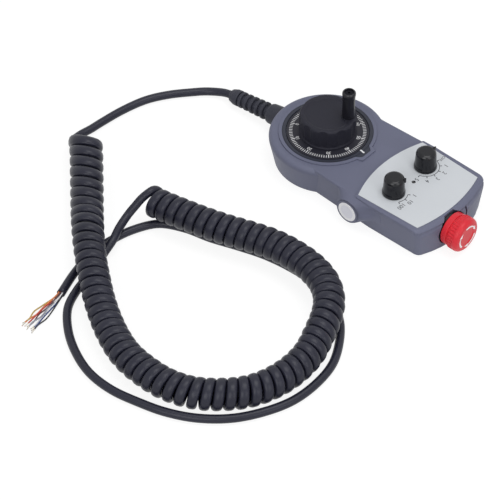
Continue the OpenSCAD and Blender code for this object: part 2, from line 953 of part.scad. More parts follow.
axis_at = [-switch_x, switch_y, 0];
multiplier_at = [switch_x, switch_y, 0];
module axis_switch_body() { translate(axis_at) switch_body(); }
module axis_switch_shaft() { translate(axis_at) switch_shaft(axis_dir); }
module axis_switch_nut() { translate(axis_at) switch_nut(); }
module axis_knob() { translate(axis_at) selector_knob(axis_dir); }
module axis_knob_screw() { translate(axis_at) knob_screw(axis_dir); }
module multiplier_switch_body() { translate(multiplier_at) switch_body(); }
module multiplier_switch_shaft() { translate(multiplier_at) switch_shaft(multiplier_dir); }
module multiplier_switch_nut() { translate(multiplier_at) switch_nut(); }
module multiplier_knob() { translate(multiplier_at) selector_knob(multiplier_dir); }
module multiplier_knob_screw() { translate(multiplier_at) knob_screw(multiplier_dir); }

// ---- Circuit board

header_half_x = 12;
header_y = board_near_y + 2;
header_len = 7;
header_h = 4.5;

module main_board() {
    color([0.10, 0.35, 0.20])
    difference() {
        translate([-board_half_w, board_near_y, board_z])
            cube([board_half_w * 2, board_far_y - board_near_y, board_t]);
        at(board_screw_at)
            post(board_screw_r, 0, far);
        at([axis_at, multiplier_at])
            for (i = [0:5])
                rotate(i * 60 + 30)
                    translate([switch_r - 2.2, 0, 0])
                        post(0.5, 0, far);
    }
}

module board_screws() {
    color([0.62, 0.63, 0.65])
    at(board_screw_at)
        screw_up(board_screw_r, 8, 2.2, 1.4, board_z);
}

module board_header() {
    color([0.85, 0.84, 0.78])
    translate([-header_half_x, header_y, board_z - header_h])
        difference() {
            cube([header_half_x * 2, header_len, header_h]);
            translate([1, 1, -1])
                cube([header_half_x * 2 - 2, header_len - 2, header_h]);
        }
}

led_seat = under_deck - 1;
module indicator_led() {
    color([0.08, 0.08, 0.09])
    translate([0, lamp_y, 0]) {
        post(lamp_r, led_seat, label_top - 0.5);
        translate([0, 0, label_top - 0.5])
            intersection() {
                cylinder(r = lamp_r, h = 1);
                translate([0, 0, 0.8 - lamp_r * 1.2])
                    sphere(r = lamp_r * 1.2, $fn = 32);
            }
        post(lamp_r + 0.4, led_seat, led_seat + 1);
    }
}

module led_spacer() {
    color([0.90, 0.90, 0.88])
    translate([0, lamp_y, 0])
        difference() {
            post(lamp_r + 0.8, board_top, led_seat);
            post(lamp_r - 0.7, 0, far);
        }
}

// ---- Emergency stop, drawn along its own axis from the seat in the end wall

flange_t = 1.6;
stop_gasket_t = 0.6;
barrel_in = 15;
stop_nut_t = 2.6;
plunger_r = 3;
plunger_flange = head_rest - 1.2;
spring_seat = -10;
spring_r = 4.6;
spring_wire = 0.45;
recess_r = 11.2;

module estop_body() {
    color([0.10, 0.10, 0.11])
    on_stop()
        difference() {
            union() {
                post(10.6, stop_gasket_t, stop_gasket_t + flange_t);
                post(barrel_r, -barrel_in, stop_gasket_t + 1);
            }
            post(spring_r + spring_wire + 0.6, spring_seat, far);
            post(plunger_r + run_gap, -far / 2, far);
        }
}

module estop_gasket() {
    color([0.20, 0.20, 0.21])
    on_stop()
        difference() {
            post(10.3, 0, stop_gasket_t);
            post(barrel_r, -1, far);
        }
}

module estop_nut() {
    color([0.16, 0.16, 0.17])
    on_stop()
        difference() {
            translate([0, 0, -stop_pad_t - stop_nut_t])
                cylinder(r = 10.4, h = stop_nut_t);
            post(barrel_r, -far / 2, far);
            for (i = [0:5])
                rotate(i * 60)
                    translate([10.8, 0, -far / 2])
                        cylinder(r = 1.4, h = far, $fn = 24);
        }
}

// Two-tier mushroom: hollow skirt, groove, ribbed front tier and dished face
module estop_head() {
    ribs = 36;
    tier = 5.6;
    color([0.84, 0.16, 0.23])
    on_stop()
        translate([0, 0, head_rest])
            difference() {
                rotate_extrude($fn = 96)
                    polygon([[0, 0], [stop_rear_r - 0.6, 0], [stop_rear_r, 0.5],
                        [stop_rear_r + 0.2, 4], [stop_rear_r - 0.2, 4.6],
                        [stop_rear_r - 0.8, 4.9], [stop_rear_r - 0.8, tier - 0.2],
                        [stop_r - 0.9, tier + 0.3], [stop_r - 0.2, tier + 1.1],
                        [stop_r - 0.2, stop_h - 3], [stop_r - 0.8, stop_h - 1.6],
                        [stop_r - 2, stop_h - 0.5], [stop_r - 3.4, stop_h],
                        [stop_r - 6.6, stop_h], [stop_r - 7.2, stop_h - 0.4],
                        [0, stop_h - 0.4]]);
                post(recess_r, -1, 3.2);
                for (i = [0:ribs - 1])
                    rotate(i * 360 / ribs)
                        translate([stop_r + 0.2, 0, tier])
                            cylinder(r = 0.9, h = 5.2, $fn = 12);
                post(plunger_r, 0, 6);
            }
}

module estop_plunger() {
    color([0.80, 0.80, 0.78])
    on_stop() {
        post(plunger_r, -barrel_in - 1, head_rest + 6);
        post(spring_r + spring_wire + 0.2, plunger_flange, head_rest + 3.2);
    }
}

// A ring of points round a place on a path, square to the direction of travel
function unit(v) = v / norm(v);
function ring(p, dir, r, n) =
    let (side = unit(abs(dir[2]) > 0.95 ? cross(dir, [1, 0, 0]) : cross(dir, [0, 0, 1])),
         up = cross(side, dir))
    [for (i = [0:n - 1]) p + r * (cos(360 * i / n) * side + sin(360 * i / n) * up)];
function heading(path, i) =
    let (last = len(path) - 1)
    unit(path[min(i + 1, last)] - path[max(i - 1, 0)]);

// A round tube swept along a path
module tube(path, r, n) {
    count = len(path);
    points = [for (i = [0:count - 1]) each ring(path[i], heading(path, i), r, n)];
    sides = [for (i = [0:count - 2], j = [0:n - 1])
        each [[i * n + j, (i + 1) * n + j, (i + 1) * n + (j + 1) % n],
              [i * n + j, (i + 1) * n + (j + 1) % n, i * n + (j + 1) % n]]];
    cap_a = [for (j = [0:n - 1]) j];
    cap_b = [for (j = [n - 1:-1:0]) (count - 1) * n + j];
    polyhedron(points = points, faces = concat([cap_a], sides, [cap_b]));
}

module estop_spring() {
    turns = 6;
    steps = 12;
    low = spring_seat + spring_wire;
    rise = plunger_flange - spring_wire - low;
    // The end turns lie flat, the turns between them climb
    color([0.75, 0.76, 0.78])
    on_stop()
        tube([for (i = [0:turns * steps]) let (a = i * 360 / steps, t = i / steps)
            [spring_r * cos(a), spring_r * sin(a),
             low + rise * max(0, min(1, (t - 0.75) / (turns - 1.5)))]],
            spring_wire, 6);
}

block_w = 17;
module estop_contact_block() {
    color([0.12, 0.12, 0.13])
    on_stop()
        difference() {
            translate([-block_w / 2, -block_w / 2, -barrel_in - block_len])
                cube([block_w, block_w, block_len]);
            post(plunger_r + run_gap, -barrel_in - stop_travel - 2, far);
        }
}

module estop_terminals() {
    color([0.78, 0.66, 0.35])
    on_stop()
        for (x = [-4, 4], y = [-2.6, 2.6])
            translate([x - 0.4, y - 1, -barrel_in - block_len - 4])
                cube([0.8, 2, 4]);
}

// ---- Boot and cable inside it, drawn along the boot's own axis

collar_len = 8.4;
rib_count = 5;
rib_pitch = 5.4;
rib_t = 2.6;
first_rib = 18.6;
boot_core_r = 4.3;

module bend_relief() {
    color([0.22, 0.22, 0.25])
    on_port()
        difference() {
            union() {
                // Flange inside the wall, neck through it, smooth thick foot
                post(boot_foot_r, -port_pad_t - boot_flange_t, -port_pad_t);
                post(boot_neck_r, -port_pad_t - 0.5, 0.5);
                rotate_extrude()
                    polygon([[0, 0], [boot_foot_r, 0], [boot_foot_r - 0.3, 7],
                        [boot_foot_r - 0.7, 13.4], [boot_foot_r - 1.2, 14.6],
                        [boot_foot_r - 2.2, 15.4], [boot_core_r, 15.4], [0, 15.4]]);
                post(boot_core_r, 15, boot_len - 1);
                // Ribs that let it bend but not kink
                for (i = [0:rib_count - 1])
                    translate([0, 0, first_rib + i * rib_pitch])
                        rotate_extrude()
                            let (r = 6.7 - i * 0.12)
                            polygon([[0, 0], [r - 0.5, 0], [r, 0.5], [r, rib_t - 0.5],
                                [r - 0.5, rib_t], [0, rib_t]]);
                translate([0, 0, boot_len - collar_len])
                    rotate_extrude()
                        polygon([[0, 0], [5.8, 0], [6.2, 0.5], [6.1, collar_len - 4.6],
                            [4.9, collar_len - 0.8], [4.2, collar_len], [0, collar_len]]);
            }
            translate([0, 0, -20])
                cylinder(r = cable_r, h = boot_len + 40);
        }
}

module cable_core() {
    color([0.22, 0.22, 0.25])
    on_port()
        post(cable_r, -core_in, boot_len);
}

module cable_clamp() {
    color([0.55, 0.56, 0.58])
    difference() {
        translate([-clamp_half_x, clamp_y - clamp_half_y, clamp_low])
            cube([clamp_half_x * 2, clamp_half_y * 2, clamp_top - clamp_low]);
        on_port()
            post(cable_r, -20, 10);
        at(clamp_screw_at)
            post(clamp_screw_r, 0, far);
    }
}

module clamp_screws() {
    color([0.62, 0.63, 0.65])
    at(clamp_screw_at)
        screw_up(clamp_screw_r, under_deck - clamp_low - 0.4, 2.2, 1.4, clamp_low);
}

module wire_harness() {
    lane = can_r + 3.2;
    low = can_z + 0.6;
    color([0.25, 0.25, 0.28])
    tube([port_place(-core_in), [1.4, -lane - 0.6, boot_z + 1.1],
        for (p = [[-74, 12], [-59, 9], [-37, 7], [-14, 6.6], [11, 6.6]])
            [lane * cos(p[0]), lane * sin(p[0]), max(p[1], low)],
        [lane - 1.7, 16, low], [20.5, 28, low - 0.2], [18, header_y - 10, low - 0.4],
        [16, header_y - 1, low - 0.4],
        [header_half_x, header_y + 3.5, board_z - header_h / 2]], 2, 8);
}

// ---- Cord: routes in millimetres on the surface that the case lies on

lead_route = [[2.7, -98.6, 5.3], [5, -105.2, 3.9], [10, -112.6, 3.2], [17, -119, 3.2],
    [30.5, -130, 3.2], [46, -138.7, 3.2], [66, -144, 3.2], [86, -146.5, 3.2], [101, -147, 3.4],
    [110, -146.4, 5], [116, -144, 10.5]];
coil_route = [[111, -138.3, 11.4], [125, -123.5, 11.4], [139, -109.5, 11.4], [153, -95.5, 11.5],
    [167, -81.5, 13.2], [180, -68, 16.6], [192, -55, 18], [203, -42, 18], [213, -29, 16.9],
    [223, -15, 14.2], [232, 0, 12.1], [240, 16, 11.4], [246, 33, 11.4], [248, 51, 11.4],
    [247, 70, 11.4], [241, 88, 11.4], [230, 103, 11.4], [216, 115, 11.4], [200, 122, 11.4],
    [182, 125, 11.6], [164, 124, 12.7], [148, 119, 14.8], [133, 113, 17], [121, 105, 17.8],
    [111, 92, 17.8], [106, 76, 17.8], [105, 58, 17.8], [107, 41, 17.8], [112, 24, 17.8],
    [118, 7, 17.8], [123, -10, 17.8], [127, -27, 17.7], [130, -43, 17.2], [131, -53, 16.6]];
tail_route = [[127, -54, 24], [137, -57, 19], [149, -58, 12.6], [161, -55.5, 10.3], [172, -51, 9.5],
    [182, -49.5, 6], [192, -47.5, 3.4], [204, -44, 3.2], [220, -40, 3.2], [236, -33, 3.2],
    [251, -18, 3.2], [262, 0, 3.2], [269, 20, 3.2], [270, 41, 3.2], [266, 62, 3.2],
    [260, 82, 3.2], [250, 101, 3.2], [235, 118, 3.2], [217, 130, 3.2], [197, 138, 3.2],
    [176, 140, 3.2], [155, 137, 3.2], [137, 128, 3.2], [121, 115, 3.2], [110, 97, 3.2],
    [105, 77, 3.2], [105, 56, 3.2], [108, 35, 3.2], [114, 15, 3.2], [121, -5, 3.2],
    [126, -25, 3.2], [135, -42, 3.2], [150, -51, 3.2], [169, -56, 3.2], [189, -57, 3.2],
    [209, -53, 3.2], [230, -46, 3.2]];
boot_tip = port_place(boot_len);

module cord_lead() {
    color([0.22, 0.22, 0.25])
    tube(concat([boot_tip], lead_route), cable_r, 10);
}

module cord_coil() {
    color([0.24, 0.24, 0.27])
    tube(coil_route, coil_d / 2, 12);
}

module cord_tail() {
    color([0.22, 0.22, 0.25])
    tube(tail_route, cable_r, 10);
}

// Bare cores: eight thin wires that fan out of the jacket's end
module cord_wires() {
    wires = 8;
    wire_r = 0.55;
    root = tail_route[len(tail_route) - 1];
    dir = heading(tail_route, len(tail_route) - 1);
    // The cores lie in a circle in the jacket; taken in this order, none crosses another
    order = [4, 3, 5, 2, 6, 1, 7, 0];
    starts = ring(root, dir, 1.9, wires);
    color([0.75, 0.45, 0.30])
    for (i = [0:wires - 1])
        let (spread = i - (wires - 1) / 2, start = starts[order[i]], mid = root + [16, 2.5, 0],
             tip = [267, -42 - spread * 1.6, 0.8])
        tube([start, start + 3 * dir,
            [mid[0] + spread * 0.4, mid[1] - spread * 1.6, 2.4],
            [(mid[0] + tip[0]) / 2, (mid[1] + tip[1]) / 2 - spread * 0.6, 1.4], tip], wire_r, 6);
}

top_case();
back_cover();
case_gasket();
case_screws();
panel_label();
side_label();
dial_bezel();
dial_disc();
handwheel_knob();
wheel_set_screws();
handle_grip();
handle_axle();
encoder_housing();
encoder_screws();
encoder_shaft();
encoder_bearings();
code_disc();
encoder_board();
optical_sensor();
detent_wheel();
detent_magnets();
axis_switch_body();
axis_switch_shaft();
axis_switch_nut();
axis_knob();
axis_knob_screw();
multiplier_switch_body();
multiplier_switch_shaft();
multiplier_switch_nut();
multiplier_knob();
multiplier_knob_screw();
main_board();
board_screws();
board_header();
indicator_led();
led_spacer();
estop_body();
estop_gasket();
estop_nut();
estop_head();
estop_plunger();
estop_spring();
estop_contact_block();
estop_terminals();
bend_relief();
cable_core();
cable_clamp();
clamp_screws();
wire_harness();
cord_lead();
cord_coil();
cord_tail();
cord_wires();
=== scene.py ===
import json
import math

import bmesh
import bpy
from mathutils import Matrix, Vector

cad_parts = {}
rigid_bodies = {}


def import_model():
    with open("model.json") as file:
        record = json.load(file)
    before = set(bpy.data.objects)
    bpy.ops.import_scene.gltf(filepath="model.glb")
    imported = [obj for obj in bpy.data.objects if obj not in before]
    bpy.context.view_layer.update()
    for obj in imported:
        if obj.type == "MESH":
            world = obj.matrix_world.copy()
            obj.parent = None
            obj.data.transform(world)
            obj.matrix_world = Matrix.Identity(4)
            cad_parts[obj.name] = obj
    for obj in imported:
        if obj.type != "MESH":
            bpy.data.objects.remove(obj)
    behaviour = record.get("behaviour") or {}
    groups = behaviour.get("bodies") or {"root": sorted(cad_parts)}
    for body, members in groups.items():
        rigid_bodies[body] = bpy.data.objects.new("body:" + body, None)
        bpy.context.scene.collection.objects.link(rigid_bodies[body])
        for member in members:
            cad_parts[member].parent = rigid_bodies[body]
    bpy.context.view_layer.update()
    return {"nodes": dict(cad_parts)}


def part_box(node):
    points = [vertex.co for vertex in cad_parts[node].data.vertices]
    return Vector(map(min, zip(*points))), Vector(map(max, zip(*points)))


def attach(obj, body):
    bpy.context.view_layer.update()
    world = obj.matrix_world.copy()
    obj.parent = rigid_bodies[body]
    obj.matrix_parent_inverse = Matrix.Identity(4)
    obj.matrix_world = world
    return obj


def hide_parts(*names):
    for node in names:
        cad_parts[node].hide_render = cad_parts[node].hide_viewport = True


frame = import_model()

# ---- Camera
# A long lens, a little to the right of the emergency stop's end and looking
# down at 46 degrees, so the case runs away to the upper left.

MM = 0.001
eye = Vector((1019.53, 835.63, 1257.08)) * MM
gaze = Vector((-0.51957, -0.46443, -0.71718)).normalized()
across = gaze.cross(Vector((0, 0, 1))).normalized()
upward = across.cross(gaze)
lens = bpy.data.cameras.new("camera")
lens.sensor_width = 36
lens.lens = 178.55
lens.clip_end = 20
camera = bpy.data.objects.new("camera", lens)
camera.matrix_world = Matrix((
    (across.x, upward.x, -gaze.x, eye.x),
    (across.y, upward.y, -gaze.y, eye.y),
    (across.z, upward.z, -gaze.z, eye.z),
    (0, 0, 0, 1)))
bpy.context.collection.objects.link(camera)
bpy.context.scene.camera = camera
bpy.context.scene.view_settings.view_transform = "Standard"

# ---- Studio
# White paper under three square soft boxes, in an even room: one high over the
# case, one beside it and a weaker one off the emergency stop's end.


def soft_box(name, place, aim, size, watts):
    """A square lamp with a soft edge, turned to face a place."""
    light = bpy.data.lights.new(name, "AREA")
    light.shape = "SQUARE"
    light.size = size
    light.energy = watts
    lamp = bpy.data.objects.new(name, light)
    lamp.location = place
    lamp.rotation_euler = (Vector(aim) - Vector(place)).to_track_quat("-Z", "Y").to_euler()
    bpy.context.collection.objects.link(lamp)


between = (0.06, 0, 0)  # a place between the case and the coil, for the lamps to face
soft_box("top_box", (-0.1, 0.2, 1.5), between, 0.9, 8.6)
soft_box("front_box", (1.4, 0.5, 0.9), between, 0.8, 6.5)
soft_box("end_box", (0.3, 1.6, 0.8), between, 0.8, 4.5)


def direct_rays(tree):
    """1 for what the lens sees straight, in a mirror or through glass."""
    rays = tree.nodes.new("ShaderNodeLightPath")
    seen = rays.outputs["Is Camera Ray"]
    for kind in ("Is Glossy Ray", "Is Transmission Ray"):
        either = tree.nodes.new("ShaderNodeMath")
        either.operation = "MAXIMUM"
        tree.links.new(seen, either.inputs[0])
        tree.links.new(rays.outputs[kind], either.inputs[1])
        seen = either.outputs[0]
    return seen


room = bpy.data.worlds.new("room")
bpy.context.scene.world = room
room.use_nodes = True
tree = room.node_tree
tree.nodes.clear()
even = tree.nodes.new("ShaderNodeBackground")
even.inputs["Color"].default_value = (1, 1, 1, 1)
even.inputs["Strength"].default_value = 0.38
bright = tree.nodes.new("ShaderNodeBackground")
bright.inputs["Color"].default_value = (1, 1, 1, 1)
bright.inputs["Strength"].default_value = 1
pick = tree.nodes.new("ShaderNodeMixShader")
tree.links.new(direct_rays(tree), pick.inputs[0])
tree.links.new(even.outputs[0], pick.inputs[1])
tree.links.new(bright.outputs[0], pick.inputs[2])
tree.links.new(pick.outputs[0], tree.nodes.new("ShaderNodeOutputWorld").inputs[0])

# Paper that a lens sees as white and that keeps a faint shadow
paper = bpy.data.materials.new("paper")
paper.use_nodes = True
tree = paper.node_tree
tree.nodes.clear()
matt = tree.nodes.new("ShaderNodeBsdfDiffuse")
matt.inputs["Color"].default_value = (0.80, 0.80, 0.80, 1)
pale = tree.nodes.new("ShaderNodeBsdfDiffuse")
pale.inputs["Color"].default_value = (0.20, 0.20, 0.20, 1)
glow = tree.nodes.new("ShaderNodeEmission")
glow.inputs["Strength"].default_value = 0.87
both = tree.nodes.new("ShaderNodeAddShader")
pick = tree.nodes.new("ShaderNodeMixShader")
tree.links.new(pale.outputs[0], both.inputs[0])
tree.links.new(glow.outputs[0], both.inputs[1])
tree.links.new(direct_rays(tree), pick.inputs[0])
tree.links.new(matt.outputs[0], pick.inputs[1])
tree.links.new(both.outputs[0], pick.inputs[2])
tree.links.new(pick.outputs[0], tree.nodes.new("ShaderNodeOutputMaterial").inputs[0])

sheet = bpy.data.meshes.new("floor")
sheet_half = 6
sheet_z = -0.0004
sheet.from_pydata([(x * sheet_half, y * sheet_half, sheet_z)
                   for x, y in ((-1, -1), (1, -1), (1, 1), (-1, 1))], [], [(0, 1, 2, 3)])
sheet.materials.append(paper)
floor = bpy.data.objects.new("floor", sheet)
bpy.context.collection.objects.link(floor)

# ---- Cord
# One length of 6.2 mm cable with a satin polyurethane jacket: a plain lead
# from the boot, a part wound on a rod and heat-set, whose turns are pressed a
# little flat against each other, and a plain tail that loops round under it.

cable_d = 6.2
cable_sides = 14
plain_step = 2.5
# The wound part: its reach is from the axis line to the middle of the cable,
# and the first turn starts a little way along that line.
coil_turns = 70 + 100 / 360
coil_reach = 8.5
coil_start = 6.3
turn_points = 24
axis_step = 0.3
# Over this stretch the turns lie further apart, and then close up
first_stretch = 115
first_pitch = 10.9
closing_len = 40
# How much the first turns reach out, lean forwards, twist and widen, and over
# what length of coil that dies away
loose_reach = 1.1
loose_lean = 0.72
loose_yaw = 0.12
loose_wide = 0.2
loose_len = 130
# A wound cable's width and thickness against a plain one's, how square it is
# pressed, and how soon before the first turn that begins to show
turn_wide = 1.17
turn_thin = 0.88
turn_square = 0.5
ease_len = 18
early = 14

# The end of the boot, where the cable comes out
case_head_r, case_head_draft, case_h = 43.8, 5.2, 25
boot_z, boot_sink, boot_len = 11.9, 1.2, 52.5
boot_droop = math.radians(5.9)
boot_lean = math.radians(2)
port = (0, -(case_head_r + case_head_draft * (boot_z / case_h - 1) - boot_sink), boot_z)
boot_tip = (boot_len * math.cos(boot_droop) * math.sin(boot_lean),
            port[1] - boot_len * math.cos(boot_droop) * math.cos(boot_lean),
            port[2] - boot_len * math.sin(boot_droop))

lead_route = [boot_tip, (2.7, -98.6, 5.3), (5, -105.2, 3.9), (10, -112.6, 3.2),
              (17, -119, 3.2), (30.5, -130, 3.2),
              (46, -138.7, 3.2), (66, -144, 3.2), (86, -146.5, 3.2), (97, -147.4, 3.2),
              (106.5, -148.6, 3.6), (114.5, -147.3, 5), (119.6, -143.6, 7.6)]
coil_route = [(111, -138.3, 12.5), (125, -123.5, 12.5), (139, -109.5, 12.4),
              (153, -95.5, 12.2), (167, -81.5, 13.2), (180, -68, 16.6), (192, -55, 18),
              (203, -42, 18), (213, -29, 16.9), (223, -15, 14.2), (232, 0, 12.1),
              (240, 16, 11.4), (246, 33, 11.4), (248, 51, 11.4), (247, 70, 11.4),
              (241, 88, 11.4), (230, 103, 11.4), (216, 115, 11.4), (200, 122, 11.4),
              (182, 125, 11.6), (164, 124, 12.7), (148, 119, 14.8), (133, 113, 17),
              (121, 105, 17.8), (111, 92, 17.8), (106, 76, 17.8), (105, 58, 17.8),
              (107, 41, 17.8), (112, 24, 17.8), (118, 7, 17.8), (123, -10, 17.8),
              (127, -27, 17.7), (130, -43, 17.2), (131, -53, 16.6)]
tail_route = [(137.5, -55.6, 21.6), (143, -57, 17.2), (149, -58, 13),
              (161, -55.5, 10.3), (172, -51, 9.5), (182, -49.5, 6), (192, -47.5, 3.4),
              (204, -44, 3.2), (220, -40, 3.2), (236, -33, 3.2), (251, -18, 3.2), (262, 0, 3.2),
              (269, 20, 3.2), (270, 41, 3.2), (266, 62, 3.2), (260, 82, 3.2), (250, 101, 3.2),
              (235, 118, 3.2), (217, 130, 3.2), (197, 138, 3.2), (176, 140, 3.2),
              (155, 137, 3.2), (137, 128, 3.2), (121, 115, 3.2), (110, 97, 3.2),
              (105, 77, 3.2), (105, 56, 3.2), (108, 35, 3.2), (114, 15, 3.2), (121, -5, 3.2),
              (126, -25, 3.2), (135, -42, 3.2), (150, -51, 3.2), (169, -56, 3.2),
              (189, -57, 3.2), (209, -53, 3.2), (230, -46, 3.2)]


def through(points, step):
    """A smooth line through the points, with a point about every step."""
    pts = [Vector(p) for p in points]
    pts = [2 * pts[0] - pts[1]] + pts + [2 * pts[-1] - pts[-2]]
    line = []
    for a, b, c, d in zip(pts, pts[1:], pts[2:], pts[3:]):
        t0, t1 = 0, math.sqrt((b - a).length)
        t2 = t1 + math.sqrt((c - b).length)
        t3 = t2 + math.sqrt((d - c).length)
        n = max(1, round((c - b).length / step))
        for i in range(n):
            t = t1 + (t2 - t1) * i / n
            ab = a.lerp(b, (t - t0) / (t1 - t0))
            bc = b.lerp(c, (t - t1) / (t2 - t1))
            cd = c.lerp(d, (t - t2) / (t3 - t2))
            line.append(ab.lerp(bc, (t - t0) / (t2 - t0)).lerp(
                bc.lerp(cd, (t - t1) / (t3 - t1)), (t - t1) / (t2 - t1)))
    return line + [pts[-2]]


def length_of(line):
    """How long a line of points is."""
    return sum((b - a).length for a, b in zip(line, line[1:]))


# The wound part: turns climb round the axis line. Its first dozen lie loose:
# wider, further apart and leaning forwards.
axis_line = through(coil_route, axis_step)[round(coil_start / axis_step):]
axis_len = length_of(axis_line)
rest_pitch = (axis_len - first_stretch) / (coil_turns - first_stretch / first_pitch)
turn_at, gone = [0], 0
for a, b in zip(axis_line, axis_line[1:]):
    gone += (b - a).length
    ease = min(1, max(0, (gone - first_stretch + closing_len / 2) / closing_len))
    pitch = first_pitch + (rest_pitch - first_pitch) * ease
    turn_at.append(turn_at[-1] + (b - a).length / pitch)
stretch = coil_turns / turn_at[-1]
winding, along_axis, widths, wanted = [], [], [], 0
look = 12  # points each way that give the axis line's direction
hair = 1e-9
for i in range(len(axis_line) - 1):
    while turn_at[i + 1] * stretch >= wanted - hair:
        share = (wanted / stretch - turn_at[i]) / (turn_at[i + 1] - turn_at[i])
        heart = axis_line[i].lerp(axis_line[i + 1], min(1, max(0, share)))
        back, ahead = max(0, i - look), min(len(axis_line) - 1, i + look)
        along = (axis_line[ahead] - axis_line[back]).normalized()
        side = along.cross(Vector((0, 0, 1))).normalized()
        rise = side.cross(along)
        turn = 2 * math.pi * wanted
        loose = max(0, 1 - turn_at[i] * stretch * first_pitch / loose_len)
        loose = loose * (2 - loose)
        reach = coil_reach + loose_reach * loose
        lean = loose * (loose_lean * math.sin(turn) - loose_yaw * math.cos(turn))
        winding.append(heart + reach * (math.cos(turn) * side + math.sin(turn) * rise
                                        + lean * along))
        along_axis.append(along)
        widths.append(turn_wide + loose_wide * loose)
        wanted += 1 / turn_points
        if wanted > coil_turns:
            break
    if wanted > coil_turns:
        break

# The plain ends run through the coil's first or last points, and stop there
lead_line = through(lead_route + [winding[0], winding[2]], plain_step)
lead_line = lead_line[:min(range(len(lead_line)),
                           key=lambda i: (lead_line[i] - winding[0]).length)]
tail_line = through([winding[-3], winding[-1]] + tail_route, plain_step)
tail_line = tail_line[min(range(len(tail_line)),
                          key=lambda i: (tail_line[i] - winding[-1]).length) + 1:]


def unit_across(vector, along):
    """The part of a vector that is square to a direction, one long."""
    return (vector - vector.dot(along) * along).normalized()


def finished(build, name, *materials):
    """A built mesh as a piece of the scene."""
    skin = bpy.data.meshes.new(name)
    build.to_mesh(skin)
    build.free()
    for material in materials:
        skin.materials.append(material)
    piece = bpy.data.objects.new(name, skin)
    bpy.context.collection.objects.link(piece)
    return piece


def cable(name, before, coiled, axes, widths, after, radius, sides, material):
    """A cable's skin along three joined lines, round at its ends and pressed
    flat along the coil's axis where it is wound."""
    line = before + coiled + after
    first, last = len(before), len(before) + len(coiled) - 1
    run = [0]
    for a, b in zip(line, line[1:]):
        run.append(run[-1] + (b - a).length)
    heads = [(line[min(i + 1, len(line) - 1)] - line[max(i - 1, 0)]).normalized()
             for i in range(len(line))]
    flats = [None] * len(line)
    for i, axis in enumerate(axes):
        flats[first + i] = unit_across(axis, heads[first + i])
    for i in range(first - 1, -1, -1):
        flats[i] = unit_across(flats[i + 1], heads[i])
    for i in range(last + 1, len(line)):
        flats[i] = unit_across(flats[i - 1], heads[i])
    build = bmesh.new()
    rings = []
    for i, p in enumerate(line):
        press = min(1, max(0, min(run[i] - run[first] + early, run[last] - run[i]) / ease_len))
        thick = heads[i].cross(flats[i])
        wide = radius * (1 + (widths[min(max(i, first), last) - first] - 1) * press)
        thin = radius * (1 + (turn_thin - 1) * press)
        power = 2 / (2 + turn_square * press)
        ring = []
        for k in range(sides):
            c, d = math.cos(2 * math.pi * k / sides), math.sin(2 * math.pi * k / sides)
            out = wide * math.copysign(abs(c) ** power, c)
            up = thin * math.copysign(abs(d) ** power, d)
            ring.append(build.verts.new((p + out * flats[i] + up * thick) * MM))
        rings.append(ring)
    for near, ahead in zip(rings, rings[1:]):
        for k in range(sides):
            build.faces.new((near[k], near[(k + 1) % sides], ahead[(k + 1) % sides], ahead[k]))
    build.faces.new(rings[0])
    build.faces.new(rings[-1])
    bmesh.ops.recalc_face_normals(build, faces=build.faces)
    for face in build.faces:
        face.smooth = len(face.verts) == 4
    return finished(build, name, material)


def rgb(r, g, b):
    """A colour given as 0 to 255 on a screen, as the shader wants it."""
    return tuple((v / 255 / 12.92) if v <= 10 else ((v / 255 + 0.055) / 1.055) ** 2.4
                 for v in (r, g, b)) + (1,)


patch_scale, patch_detail, grain_detail = 38, 3, 2
glossier, duller = 0.04, 0.06


def moulded(name, colour, rough, grain=0.0004, depth=0.06, uneven=0.06, shine=0.5,
            metal=0, edge=0):
    """Moulded, cast or painted stuff: a fine bumpy skin, with its colour and
    gloss a little uneven over a wide area, and its sharp edges eased."""
    made = bpy.data.materials.new(name)
    made.use_nodes = True
    made.diffuse_color = colour
    tree = made.node_tree
    skin = tree.nodes["Principled BSDF"]
    skin.inputs["Metallic"].default_value = metal
    skin.inputs["Specular IOR Level"].default_value = shine
    place = tree.nodes.new("ShaderNodeTexCoord")
    wide = tree.nodes.new("ShaderNodeTexNoise")
    wide.inputs["Scale"].default_value = patch_scale
    wide.inputs["Detail"].default_value = patch_detail
    tree.links.new(place.outputs["Object"], wide.inputs["Vector"])
    tone = tree.nodes.new("ShaderNodeValToRGB")
    tone.color_ramp.elements[0].position = 0.3
    tone.color_ramp.elements[1].position = 0.7
    tone.color_ramp.elements[0].color = tuple(c * (1 - uneven) for c in colour[:3]) + (1,)
    tone.color_ramp.elements[1].color = tuple(min(1, c * (1 + uneven)) for c in colour[:3]) + (1,)
    tree.links.new(wide.outputs["Fac"], tone.inputs["Fac"])
    tree.links.new(tone.outputs["Color"], skin.inputs["Base Color"])
    fine = tree.nodes.new("ShaderNodeTexNoise")
    fine.inputs["Scale"].default_value = 1 / grain
    fine.inputs["Detail"].default_value = grain_detail
    tree.links.new(place.outputs["Object"], fine.inputs["Vector"])
    gloss = tree.nodes.new("ShaderNodeMapRange")
    gloss.inputs["To Min"].default_value = rough - glossier
    gloss.inputs["To Max"].default_value = rough + duller
    tree.links.new(fine.outputs["Fac"], gloss.inputs["Value"])
    tree.links.new(gloss.outputs["Result"], skin.inputs["Roughness"])
    if depth:
        bump = tree.nodes.new("ShaderNodeBump")
        bump.inputs["Strength"].default_value = depth
        bump.inputs["Distance"].default_value = grain
        tree.links.new(fine.outputs["Fac"], bump.inputs["Height"])
        if edge:
            eased = tree.nodes.new("ShaderNodeBevel")
            eased.inputs["Radius"].default_value = edge
            tree.links.new(eased.outputs["Normal"], bump.inputs["Normal"])
        tree.links.new(bump.outputs["Normal"], skin.inputs["Normal"])
    return made


